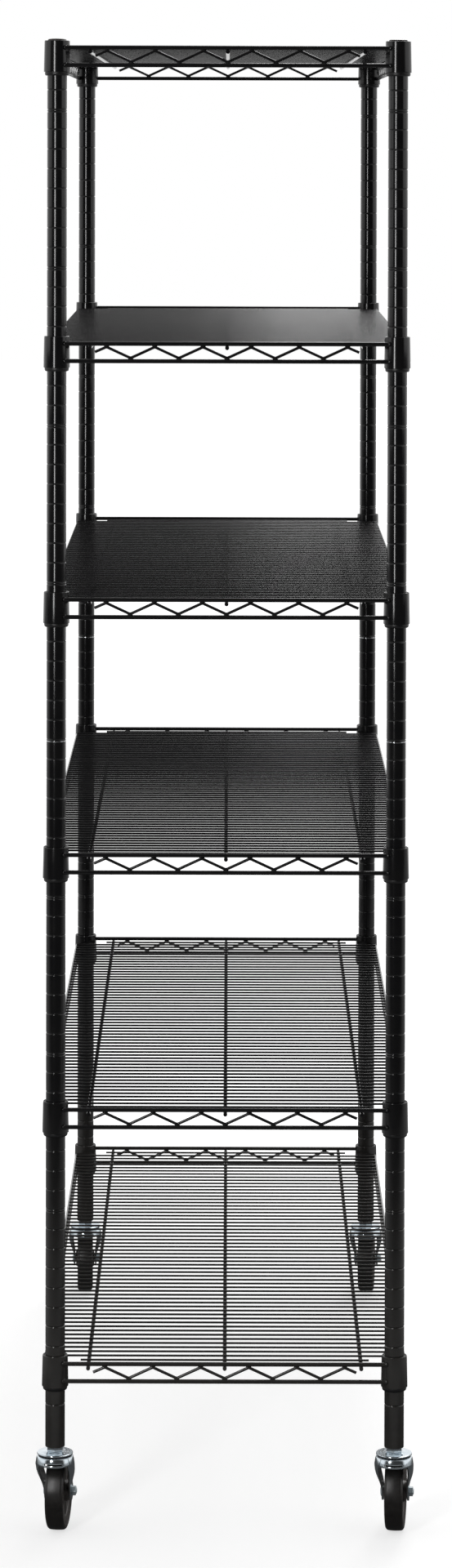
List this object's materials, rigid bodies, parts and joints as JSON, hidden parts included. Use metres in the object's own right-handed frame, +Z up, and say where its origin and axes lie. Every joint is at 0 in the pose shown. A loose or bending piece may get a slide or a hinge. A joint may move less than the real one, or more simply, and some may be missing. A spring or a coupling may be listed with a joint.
{
  "type": "wire shelving rack",
  "caption": "Tall narrow black wire shelving rack: grooved round posts, welded wire shelves held by split tapered sleeves, and swivel casters.",
  "frame": {"origin": "on the floor under the middle of the overall box", "axes": "+Z up; X across the narrow ends, Y along the long sides, the front being the narrow end at -Y; the wheels trail towards +Y"},
  "size_m": [0.4922, 1.3106, 1.942],
  "materials": {
    "black_coating": "gloss",
    "black_plastic": "semi-gloss moulded",
    "chrome_plate": "bright plated",
    "zinc_steel": "bright zinc plated",
    "black_rubber": "smooth moulded rubber",
    "grey_nylon": "satin moulded"
  },
  "bodies": {
    "root": {"lower_post_front_left": "black_coating", "upper_post_front_left": "black_coating", "lower_post_front_right": "black_coating", "upper_post_front_right": "black_coating", "lower_post_back_left": "black_coating", "upper_post_back_left": "black_coating", "lower_post_back_right": "black_coating", "upper_post_back_right": "black_coating", "post_caps": "black_plastic", "post_joint_studs": "zinc_steel", "post_joint_nuts": "zinc_steel", "caster_sockets": "zinc_steel", "shelf_1_collars": "black_coating", "shelf_1_frame": "black_coating", "shelf_1_deck": "black_coating", "shelf_1_sleeves": "black_plastic", "shelf_2_collars": "black_coating", "shelf_2_frame": "black_coating", "shelf_2_deck": "black_coating", "shelf_2_sleeves": "black_plastic", "shelf_3_collars": "black_coating", "shelf_3_frame": "black_coating", "shelf_3_deck": "black_coating", "shelf_3_sleeves": "black_plastic", "shelf_4_collars": "black_coating", "shelf_4_frame": "black_coating", "shelf_4_deck": "black_coating", "shelf_4_sleeves": "black_plastic", "shelf_5_collars": "black_coating", "shelf_5_frame": "black_coating", "shelf_5_deck": "black_coating", "shelf_5_sleeves": "black_plastic", "shelf_6_collars": "black_coating", "shelf_6_frame": "black_coating", "shelf_6_deck": "black_coating", "shelf_6_sleeves": "black_plastic", "caster_stems": "chrome_plate", "swivel_discs": "chrome_plate", "swivel_balls": "chrome_plate"},
    "fork_front_left": {"fork_front_left": "chrome_plate", "bush_front_left": "zinc_steel", "axle_front_left": "zinc_steel"},
    "wheel_front_left": {"tyre_front_left": "black_rubber", "hub_front_left": "grey_nylon"},
    "fork_front_right": {"fork_front_right": "chrome_plate", "bush_front_right": "zinc_steel", "axle_front_right": "zinc_steel"},
    "wheel_front_right": {"tyre_front_right": "black_rubber", "hub_front_right": "grey_nylon"},
    "fork_back_left": {"fork_back_left": "chrome_plate", "bush_back_left": "zinc_steel", "axle_back_left": "zinc_steel"},
    "wheel_back_left": {"tyre_back_left": "black_rubber", "hub_back_left": "grey_nylon"},
    "fork_back_right": {"fork_back_right": "chrome_plate", "bush_back_right": "zinc_steel", "axle_back_right": "zinc_steel"},
    "wheel_back_right": {"tyre_back_right": "black_rubber", "hub_back_right": "grey_nylon"}
  },
  "joints": [
    {"name": "swivel_front_left", "type": "hinge", "parent": "root", "child": "fork_front_left", "pos_m": [-0.2196, -0.6299, 0.1077], "axis": [0, 0, 1], "continuous": true},
    {"name": "roll_front_left", "type": "hinge", "parent": "fork_front_left", "child": "wheel_front_left", "pos_m": [-0.21605, -0.59608, 0.05], "axis": [0.9945, -0.1045, 0], "continuous": true},
    {"name": "swivel_front_right", "type": "hinge", "parent": "root", "child": "fork_front_right", "pos_m": [0.2196, -0.6299, 0.1077], "axis": [0, 0, 1], "continuous": true},
    {"name": "roll_front_right", "type": "hinge", "parent": "fork_front_right", "child": "wheel_front_right", "pos_m": [0.22315, -0.59608, 0.05], "axis": [0.9945, -0.1045, 0], "continuous": true},
    {"name": "swivel_back_left", "type": "hinge", "parent": "root", "child": "fork_back_left", "pos_m": [-0.2196, 0.5713, 0.1077], "axis": [0, 0, 1], "continuous": true},
    {"name": "roll_back_left", "type": "hinge", "parent": "fork_back_left", "child": "wheel_back_left", "pos_m": [-0.22079, 0.60528, 0.05], "axis": [0.9994, 0.0349, 0], "continuous": true},
    {"name": "swivel_back_right", "type": "hinge", "parent": "root", "child": "fork_back_right", "pos_m": [0.2196, 0.5713, 0.1077], "axis": [0, 0, 1], "continuous": true},
    {"name": "roll_back_right", "type": "hinge", "parent": "fork_back_right", "child": "wheel_back_right", "pos_m": [0.22197, 0.60522, 0.05], "axis": [0.9976, -0.0698, 0], "continuous": true}
  ]
}
